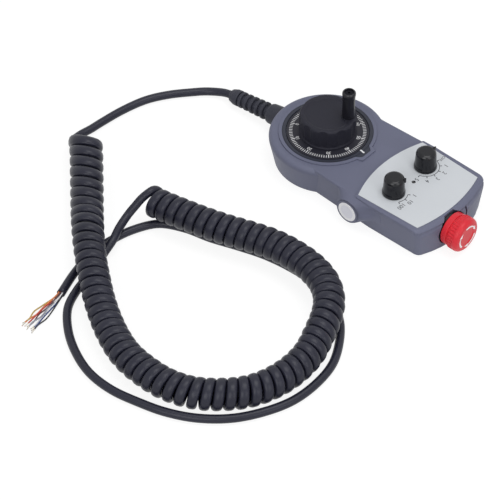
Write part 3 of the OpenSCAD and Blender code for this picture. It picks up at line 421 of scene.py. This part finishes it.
jacket = moulded("cord_jacket", rgb(34, 35, 49), 0.35, grain=0.0006, depth=0.12, uneven=0.09,
                 shine=0.3)
cord = cable("cord", lead_line, winding, along_axis, widths, tail_line, cable_d / 2, cable_sides,
             jacket)
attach(cord, "case")
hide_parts("cord_lead", "cord_coil", "cord_tail")

# ---- Bare cores
# Eight thin insulated copper cores, each in its own colour, fan out of the
# jacket where the maker leaves them for the buyer to connect.

core_r = 0.55
strand_r = 0.36
core_sides = 8
core_step = 1.2
stripped = 3  # steps of a core that are bare strand
bundle_r = 1.9
bundle_in, bundle_out = 1.5, 3
core_order = [4, 3, 5, 2, 6, 1, 7, 0]  # places round the bundle, by eighths of a turn
middle_x, middle_y, middle_z = 246, -43.5, 2.4
tip_x, tip_y, tip_z = 267, -42, 0.9
core_colours = [("black", (30, 30, 36)), ("blue", (58, 74, 124)), ("white", (226, 226, 228)),
                ("grey", (146, 150, 162)), ("brown", (92, 50, 50)), ("red", (186, 58, 52)),
                ("orange", (218, 126, 66)), ("yellow", (186, 158, 84))]
jacket_end = Vector(tail_route[-1])
leaving = (jacket_end - Vector(tail_route[-2])).normalized()
ring_side = leaving.cross(Vector((0, 0, 1))).normalized()
ring_up = ring_side.cross(leaving)

build = bmesh.new()
for i in range(len(core_colours)):
    turn = math.radians(45 * core_order[i])
    spread = i - (len(core_colours) - 1) / 2
    sway = math.sin(2.3 * i + 1)
    root = jacket_end + bundle_r * (math.cos(turn) * ring_side + math.sin(turn) * -ring_up)
    tip = Vector((tip_x + 1.2 * sway, tip_y - spread * 1.6, tip_z))
    middle = Vector((middle_x + spread * 0.4, middle_y - spread * 1.15, middle_z + 0.8 * (i % 2)))
    line = through([root - bundle_in * leaving, root + bundle_out * leaving, middle,
                    middle.lerp(tip, 0.35) + Vector((0, 0.9 * sway, 0)),
                    middle.lerp(tip, 0.7) + Vector((0, -0.9 * sway, -0.1)), tip], core_step)
    rings = []
    for j, p in enumerate(line):
        along = (line[min(j + 1, len(line) - 1)] - line[max(j - 1, 0)]).normalized()
        side = along.cross(Vector((0, 0, 1))).normalized()
        rise = side.cross(along)
        r = strand_r if j > len(line) - 1 - stripped else core_r
        rings.append([build.verts.new((p + r * (math.cos(a) * side + math.sin(a) * rise)) * MM)
                      for a in (2 * math.pi * k / core_sides for k in range(core_sides))])
    for j, (near, ahead) in enumerate(zip(rings, rings[1:])):
        bare = j >= len(rings) - 1 - stripped
        for k in range(core_sides):
            n = (k + 1) % core_sides
            face = build.faces.new((near[k], near[n], ahead[n], ahead[k]))
            face.material_index = len(core_colours) if bare else i
            face.smooth = True
    for cap in (rings[0], rings[-1][::-1]):
        build.faces.new(cap).material_index = i
bmesh.ops.recalc_face_normals(build, faces=build.faces)
cores = finished(build, "cord_cores",
                 *[moulded("core_" + tint, rgb(*colour), 0.4, grain=0.0003)
                   for tint, colour in core_colours],
                 moulded("tinned_copper", rgb(186, 180, 168), 0.35, grain=0.0003, metal=0.9))
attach(cores, "case")
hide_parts("cord_wires")

# ---- Case
# Two shells of grey ABS with a fine satin mould texture. The upper one carries
# everything; the lower one is a plate that closes its back.


def dress(material, *nodes):
    """Gives finished solids their real material."""
    for node in nodes:
        piece = frame["nodes"][node]
        piece.data.materials.clear()
        piece.data.materials.append(material)


case_grey = moulded("case_abs", rgb(104, 107, 128), 0.5, grain=0.0005, depth=0.10, uneven=0.03,
                    shine=0.35, edge=0.0004)
dress(case_grey, "top_case", "back_cover")

# The wall swells out to the side boss: gently towards the emergency stop, more
# steeply towards the dial, right up to the deck and hardly at all below.
boss_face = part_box("side_label")[0].x / MM
boss_r, boss_y, boss_z = 9.4, 56, 12.8
swell_far, swell_low = 17, 8
swell_near, swell_left = 4, 9
swell_edge, swell_top = 0.25, 24.7
swell_steps, swell_turns = 8, 96
outside = 60
face_sink, wall_sink, tuck = 0.05, 0.02, 0.5
build = bmesh.new()
sections = []
for i in range(swell_turns):
    turn = 2 * math.pi * i / swell_turns
    c, d = math.cos(turn), math.sin(turn)
    start = Vector((boss_y + boss_r * c, boss_z + boss_r * d))
    if d > 0:
        wide = boss_r + (swell_far if c > 0 else swell_near + (swell_left - swell_near) * d)
        end = Vector((boss_y + wide * math.copysign(abs(c) ** 0.8, c),
                      boss_z + (swell_top - boss_z) * d ** 0.2))
    else:
        grown = swell_far + (swell_low - swell_far) * min(1, -3 * d) if c > 0 else swell_near
        end = Vector((boss_y + c * (boss_r + grown * abs(c)), boss_z + d * (boss_r + swell_edge)))
    spot = frame["nodes"]["top_case"].ray_cast(
        Vector((outside, end.x, end.y)) * MM, Vector((-1, 0, 0)))[1]
    wall = spot.x / MM - wall_sink
    skin = []
    for k in range(swell_steps + 1):
        share = k / swell_steps
        ease = share * share * (3 - 2 * share)
        falling = share + (share - share * share) * abs(c)
        ease += (falling - ease) * min(1, max(0, 3 * d))
        p = start.lerp(end, share)
        skin.append((boss_face - face_sink + (wall - boss_face + face_sink) * ease, p.x, p.y))
    back = [(wall - tuck, end.x, end.y), (wall - tuck, start.x, start.y)]
    sections.append([build.verts.new(Vector(p) * MM) for p in skin + back])
for i in range(swell_turns):
    near, ahead = sections[i], sections[(i + 1) % swell_turns]
    for k in range(len(near)):
        n = (k + 1) % len(near)
        face = build.faces.new((near[k], near[n], ahead[n], ahead[k]))
        face.smooth = k < swell_steps
bmesh.ops.recalc_face_normals(build, faces=build.faces)
swell = finished(build, "boss_fairing", case_grey)
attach(swell, "case")

# ---- Case seal and screws
# A die-cut rubber gasket lies between the shells, and six zinc plated cap
# screws pull them together from the back.

dress(moulded("seal_rubber", rgb(38, 38, 42), 0.75, grain=0.0008, depth=0.15, shine=0.2),
      "case_gasket", "estop_gasket")


def turned(name, colour, rough, marks=900):
    """Machined metal: close rings left by the tool, and a soft shine."""
    made = moulded(name, colour, rough, grain=0.0002, depth=0.03, uneven=0.04, metal=1)
    tree = made.node_tree
    rings = tree.nodes.new("ShaderNodeTexWave")
    rings.bands_direction = "Z"
    rings.inputs["Scale"].default_value = marks
    rings.inputs["Distortion"].default_value = 1.5
    bump = tree.nodes["Bump"]
    tree.links.new(tree.nodes["Texture Coordinate"].outputs["Object"], rings.inputs["Vector"])
    tree.links.new(rings.outputs["Fac"], bump.inputs["Height"])
    return made


plated_steel = turned("zinc_plated_steel", rgb(172, 175, 180), 0.34)
dress(plated_steel, "case_screws")

# ---- Encoder
# A pressure-cast zinc housing holds two ball bearings, the ground steel shaft,
# an etched code disc and the forked light sensor on its own small board.

ground_steel = turned("ground_steel", rgb(190, 192, 196), 0.22, marks=1600)


def circuit_board(name):
    """Green solder mask over glass cloth, with the tracks a shade lighter."""
    made = moulded(name, rgb(28, 92, 58), 0.38, grain=0.0005, depth=0.05, uneven=0.08)
    tree = made.node_tree
    tracks = tree.nodes.new("ShaderNodeTexBrick")
    tracks.inputs["Scale"].default_value = 160
    tracks.inputs["Mortar Size"].default_value = 0.06
    tracks.inputs["Color1"].default_value = rgb(28, 92, 58)
    tracks.inputs["Color2"].default_value = rgb(25, 84, 53)
    tracks.inputs["Mortar"].default_value = rgb(52, 128, 82)
    tree.links.new(tree.nodes["Texture Coordinate"].outputs["Object"], tracks.inputs["Vector"])
    tree.links.new(tracks.outputs["Color"], tree.nodes["Principled BSDF"].inputs["Base Color"])
    return made


green_board = circuit_board("solder_mask")
cast_zinc = moulded("cast_zinc", rgb(132, 134, 139), 0.55, grain=0.0012, depth=0.2, metal=0.9)
dress(cast_zinc, "encoder_housing")
dress(ground_steel, "encoder_shaft", "encoder_bearings")
dress(plated_steel, "encoder_screws")
dress(turned("etched_steel", rgb(196, 198, 202), 0.3), "code_disc")
dress(green_board, "encoder_board")
part_black = moulded("part_black", rgb(34, 34, 38), 0.45, depth=0.08, shine=0.3)
dress(part_black, "optical_sensor")

# ---- Detent
# A toothed wheel of hardened steel turns between two nickel plated magnets,
# which hold it at each of its hundred clicks.

dress(turned("hardened_steel", rgb(150, 152, 156), 0.36), "detent_wheel")
dress(moulded("nickel_plate", rgb(184, 184, 180), 0.18, grain=0.0006, depth=0.03, metal=1),
      "detent_magnets")

# ---- Selector switches
# Rotary switches moulded in blue, each with a steel shaft in a threaded bush
# that a thin hexagon nut clamps to the panel.

dress(moulded("switch_blue", rgb(48, 84, 140), 0.35, grain=0.0005), "axis_switch_body",
      "multiplier_switch_body")
dress(ground_steel, "axis_switch_shaft", "multiplier_switch_shaft")
dress(plated_steel, "axis_switch_nut", "multiplier_switch_nut")

# ---- Main board
# One board under the panel carries both switches, the lamp on its spacer and
# a white header for the cable. Four screws hold it to the deck's columns.

dress(green_board, "main_board")
dress(plated_steel, "board_screws")
dress(moulded("header_nylon", rgb(222, 220, 206), 0.4), "board_header", "led_spacer")
dress(moulded("lamp_resin", rgb(24, 24, 28), 0.15, depth=0.01, shine=0.4), "indicator_led")

# ---- Cable entry
# The cable ends behind a cast zinc clamp with two screws. From there its cores
# run in one sleeve round the encoder to the header.

dress(cast_zinc, "cable_clamp")
dress(plated_steel, "clamp_screws")
dress(jacket, "cable_core", "wire_harness")

# ---- Boot
# A ribbed boot of soft black rubber, moulded with a thick plain foot, ribs
# that share out the bend and a collar that grips the cable.

dress(moulded("boot_rubber", rgb(54, 55, 65), 0.5, grain=0.0006, depth=0.12, shine=0.25),
      "bend_relief")

# ---- Dial ring
# A fixed ring of black anodised aluminium with a pointer tab. The white
# pointer line is painted over the ring's bevel and on to the tab.

dress(moulded("ring_black", rgb(46, 49, 61), 0.42, grain=0.0003, depth=0.05, shine=0.3,
              edge=0.0002), "dial_bezel")
ink_t = 0.03
white_ink = moulded("white_ink", rgb(250, 250, 252), 0.5, grain=0.0002, depth=0.04, uneven=0.02)

ring_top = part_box("dial_bezel")[1].z / MM
tab_drop = 0.38
pointer_half_w = 0.6
pointer_line = [(30.9, ring_top), (32.85, ring_top), (33.0, ring_top - tab_drop),
                (34.6, ring_top - tab_drop)]
build = bmesh.new()
sections = []
for along, top in pointer_line:
    sections.append([build.verts.new(Vector((x, along, z)) * MM)
                     for x, z in ((-pointer_half_w, top - ink_t), (pointer_half_w, top - ink_t),
                                  (pointer_half_w, top + ink_t), (-pointer_half_w, top + ink_t))])
for near, ahead in zip(sections, sections[1:]):
    for k in range(4):
        build.faces.new((near[k], near[(k + 1) % 4], ahead[(k + 1) % 4], ahead[k]))
build.faces.new(sections[0])
build.faces.new(sections[-1])
bmesh.ops.recalc_face_normals(build, faces=build.faces)
pointer = finished(build, "pointer_line", white_ink)
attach(pointer, "case")

# ---- Graduated disc
# A thin black anodised disc on the encoder shaft, with a hundred divisions
# and every tenth one numbered, screen printed in white.

dress(moulded("disc_black", rgb(40, 40, 49), 0.45, grain=0.0003, depth=0.04, shine=0.25),
      "dial_disc")


def on_circle(r, degrees):
    """A place on a circle round the origin."""
    return (r * math.cos(math.radians(degrees)), r * math.sin(math.radians(degrees)))


def division(degrees, inner, outer, width, x=0, y=0):
    """A printed mark that points at the middle of a scale, as (points, faces)."""
    out, side = Vector(on_circle(1, degrees)), Vector(on_circle(width / 2, degrees + 90))
    corners = [out * inner - side, out * outer - side, out * outer + side, out * inner + side]
    return [(p.x + x, p.y + y) for p in corners], [(0, 1, 2, 3)]


def lettering(words, height, x, y, degrees=0):
    """Printed figures in a plain face, centred on (x, y), as (points, faces)."""
    curve = bpy.data.curves.new("figures", "FONT")
    curve.body = words
    curve.resolution_u = 4
    holder = bpy.data.objects.new("figures", curve)
    flat = bpy.data.meshes.new_from_object(holder)
    spots = [v.co.copy() for v in flat.vertices]
    faces = [tuple(f.vertices) for f in flat.polygons]
    for used, store in ((flat, bpy.data.meshes), (holder, bpy.data.objects),
                        (curve, bpy.data.curves)):
        store.remove(used)
    low = Vector((min(p.x for p in spots), min(p.y for p in spots)))
    high = Vector((max(p.x for p in spots), max(p.y for p in spots)))
    size = height / (high.y - low.y)
    turn = math.radians(degrees)
    points = []
    for p in spots:
        across_x, up_y = ((p.xy - (low + high) / 2) * size)
        points.append((x + across_x * math.cos(turn) - up_y * math.sin(turn),
                       y + across_x * math.sin(turn) + up_y * math.cos(turn)))
    return points, faces


def printed(name, shapes, middle, right, up, ink, body):
    """A film of ink on a flat face: drawn in millimetres round the face's middle."""
    build = bmesh.new()
    for points, faces in shapes:
        corners = [build.verts.new((*p, 0)) for p in points]
        for face in faces:
            build.faces.new([corners[i] for i in face])
    grown = bmesh.ops.extrude_face_region(build, geom=build.faces[:])
    bmesh.ops.translate(build, vec=(0, 0, ink_t), verts=[
        v for v in grown["geom"] if isinstance(v, bmesh.types.BMVert)])
    bmesh.ops.recalc_face_normals(build, faces=build.faces)
    right, up = Vector(right), Vector(up)
    out = right.cross(up)
    for v in build.verts:
        v.co = (Vector(middle) + v.co.x * right + v.co.y * up + v.co.z * out) * MM
    piece = finished(build, name, ink)
    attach(piece, body)


graduations = 100
one_click = 360 / graduations
first_figure = -66  # the direction of the nought
marks_out = 28.2
plain_in, plain_w = 25.7, 0.42
tenth_in, tenth_w = 24.9, 0.58
dial_figure_r, dial_figure_h = 23.2, 2.5
divisions = []
for i in range(graduations):
    angle = first_figure + i * one_click
    if i % 10:
        divisions.append(division(angle, plain_in, marks_out, plain_w))
    else:
        divisions.append(division(angle, tenth_in, marks_out, tenth_w))
        divisions.append(lettering(str(i), dial_figure_h, *on_circle(dial_figure_r, angle),
                                   angle - 90))
disc_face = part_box("dial_disc")[1].z / MM
printed("dial_print", divisions, (0, 0, disc_face), (1, 0, 0), (0, 1, 0), white_ink, "wheel")

# ---- Handwheel
# Moulded in black thermoplastic with a matt spark-eroded skin. Two grub
# screws through its hub grip the encoder shaft.

dress(moulded("wheel_black", rgb(38, 38, 48), 0.55, grain=0.0005, depth=0.12, shine=0.2,
              edge=0.0004), "handwheel_knob")
black_steel = turned("blackened_steel", rgb(30, 30, 36), 0.5)
dress(black_steel, "wheel_set_screws")

# ---- Spinner handle
# A smooth black grip, turned from solid rod, that runs on the shoulder of a
# blackened socket screw.

dress(moulded("grip_black", rgb(27, 27, 34), 0.3, grain=0.0004, depth=0.03, shine=0.3,
              edge=0.0003), "handle_grip")
dress(black_steel, "handle_axle")

# ---- Panel label
# Pale grey polycarbonate film, printed in black round both selectors: a thin
# arc, a mark at each position and a plain figure outside it.

film = moulded("label_film", rgb(212, 216, 221), 0.42, grain=0.0009, depth=0.04, uneven=0.012,
               shine=0.3)
dress(film, "panel_label")
black_ink = moulded("black_ink", rgb(30, 31, 38), 0.5, grain=0.0002, depth=0.03)


def arc(r, width, start, end, x=0, y=0, steps=24):
    """A printed line round a circle, as (points, faces)."""
    points = []
    for i in range(steps + 1):
        for edge in (r - width / 2, r + width / 2):
            px, py = on_circle(edge, start + (end - start) * i / steps)
            points.append((px + x, py + y))
    return points, [(2 * i, 2 * i + 1, 2 * i + 3, 2 * i + 2) for i in range(steps)]


switch_x, switch_y = 17.8, 76.6
arc_r, arc_w = 10.2, 0.45
mark_r, mark_w = 12.1, 0.6
figure_r, figure_h = 15.0, 3.2
word_h = figure_h * 0.72
label_shapes = []
for x, marks in ((-switch_x, ((165, "OFF"), (135, "1"), (105, "2"), (75, "3"), (45, "4"),
                              (15, "5"))),
                 (switch_x, ((120, "1"), (90, "10"), (60, "100")))):
    label_shapes.append(arc(arc_r, arc_w, marks[-1][0], marks[0][0], x, switch_y))
    for angle, figure in marks:
        label_shapes.append(division(angle, arc_r + arc_w / 2, mark_r, mark_w, x, switch_y))
        px, py = on_circle(figure_r, angle)
        height = word_h if figure.isalpha() else figure_h
        label_shapes.append(lettering(figure, height, x + px, switch_y + py))
label_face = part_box("panel_label")[1].z / MM
printed("panel_print", label_shapes, (0, 0, label_face), (1, 0, 0), (0, 1, 0), black_ink, "case")

# ---- Selector knobs
# Polished black phenolic knobs with a small nib that points at the figure,
# each held to the flat of its shaft by one blackened grub screw.

dress(moulded("knob_black", rgb(24, 25, 30), 0.2, grain=0.0006, depth=0.015, uneven=0.04,
              shine=0.3, edge=0.0005), "axis_knob", "multiplier_knob")
dress(black_steel, "axis_knob_screw", "multiplier_knob_screw")

# ---- Side label
# A round white film in the boss, with nothing printed on it but a plain round
# field in a very pale grey.

dress(moulded("side_film", rgb(250, 250, 253), 0.42, grain=0.0009, depth=0.04, uneven=0.012,
              shine=0.3), "side_label")
grey_ink = moulded("grey_ink", rgb(236, 237, 246), 0.5, grain=0.0003, depth=0.03, uneven=0.03)
low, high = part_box("side_label")
field_middle_r, field_w = 2.8, 5.5
printed("side_print", [arc(field_middle_r, field_w, 0, 360, steps=48)],
        (high.x / MM, (low.y + high.y) / 2 / MM, (low.z + high.z) / 2 / MM), (0, 1, 0), (0, 0, 1),
        grey_ink, "case")

# ---- Emergency stop
# A red mushroom head, moulded with a ribbed grip, on a white plunger with a
# steel return spring. A black barrel and nut hold it in the end wall, and the
# contact block behind has brass terminals.

dress(moulded("stop_red", rgb(220, 40, 54), 0.36, grain=0.0005, depth=0.04, uneven=0.02,
              shine=0.35, edge=0.0003), "estop_head")
dress(part_black, "estop_body", "estop_nut", "estop_contact_block")
dress(moulded("plunger_white", rgb(214, 214, 208), 0.4), "estop_plunger")
dress(turned("spring_steel", rgb(180, 182, 186), 0.28), "estop_spring")
dress(turned("brass", rgb(196, 164, 92), 0.32), "estop_terminals")

arrow_r = 8.4
arrow_neck = 26  # degrees from an arrow's tip back to its barbs
arrow_half_w = 0.72
arrow_taper = 0.34
barb_reach = 1.35
tip_out = 0.1


def turn_arrow(tail, tip, steps=18):
    """A curved arrow that shows which way the head twists, as (points, faces)."""
    points = []
    neck = tip + arrow_neck
    for i in range(steps + 1):
        share = i / steps
        half = arrow_half_w - arrow_taper * share ** 2
        for r in (arrow_r - half, arrow_r + half):
            points.append(on_circle(r, tail + (neck - tail) * share))
    faces = [(2 * i, 2 * i + 1, 2 * i + 3, 2 * i + 2) for i in range(steps)]
    last = 2 * steps
    points += [on_circle(arrow_r - barb_reach, neck), on_circle(arrow_r + barb_reach, neck),
               on_circle(arrow_r + tip_out, tip)]
    faces += [(last, last + 1, last + 4), (last + 2, last, last + 4), (last + 1, last + 3, last + 4)]
    return points, faces


stop_x, stop_z = 7.5, 14
stop_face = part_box("estop_head")[1].y / MM
printed("stop_arrows", [turn_arrow(104, 10), turn_arrow(-16, -110), turn_arrow(224, 130)],
        (stop_x, stop_face, stop_z), (-1, 0, 0), (0, 0, 1), white_ink, "stop_head")
